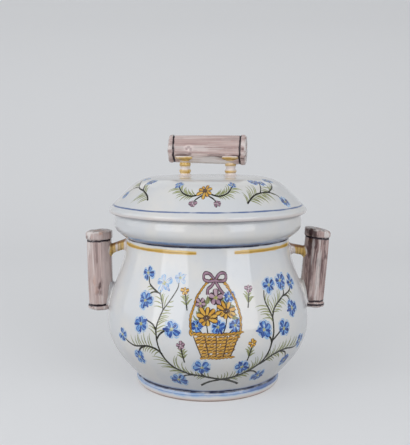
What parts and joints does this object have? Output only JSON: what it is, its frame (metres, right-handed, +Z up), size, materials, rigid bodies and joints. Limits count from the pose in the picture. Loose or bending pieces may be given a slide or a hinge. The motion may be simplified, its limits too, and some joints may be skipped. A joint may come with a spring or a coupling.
{
  "type": "lidded jar",
  "caption": "Round-bellied lidded pot on a foot ring, with a rolled collar, a strutted log-shaped handle on each side and one on posts across the domed lid.",
  "frame": {"origin": "centre of the pot's footprint, on the surface it stands on", "axes": "+Z up along the pot's axis; -Y is the painted front; +X is the handle on the right as the front is seen"},
  "size_m": [0.2376, 0.1954, 0.239],
  "materials": {
    "white_glaze": "gloss",
    "mauve_glaze": "gloss",
    "ochre_glaze": "gloss",
    "bare_clay": "matte",
    "cobalt_paint": "gloss",
    "olive_paint": "gloss",
    "sage_paint": "gloss",
    "ochre_paint": "gloss",
    "mauve_paint": "gloss"
  },
  "bodies": {
    "jar": {"jar_body": "white_glaze", "foot_ring": "white_glaze", "neck_collar": "white_glaze", "left_handle_log": "mauve_glaze", "left_handle_top_cap": "mauve_glaze", "left_handle_bottom_cap": "mauve_glaze", "left_handle_strut": "ochre_glaze", "right_handle_log": "mauve_glaze", "right_handle_top_cap": "mauve_glaze", "right_handle_bottom_cap": "mauve_glaze", "right_handle_strut": "ochre_glaze"},
    "lid": {"lid_dome": "white_glaze", "lid_locating_ring": "white_glaze", "lid_handle_log": "mauve_glaze", "lid_handle_left_cap": "mauve_glaze", "lid_handle_right_cap": "mauve_glaze", "lid_handle_left_post": "ochre_glaze", "lid_handle_right_post": "ochre_glaze"}
  },
  "joints": [
    {"name": "lid_lift", "type": "slide", "parent": "jar", "child": "lid", "axis": [0, 0, 1], "range_m": [0, 0.12]}
  ]
}
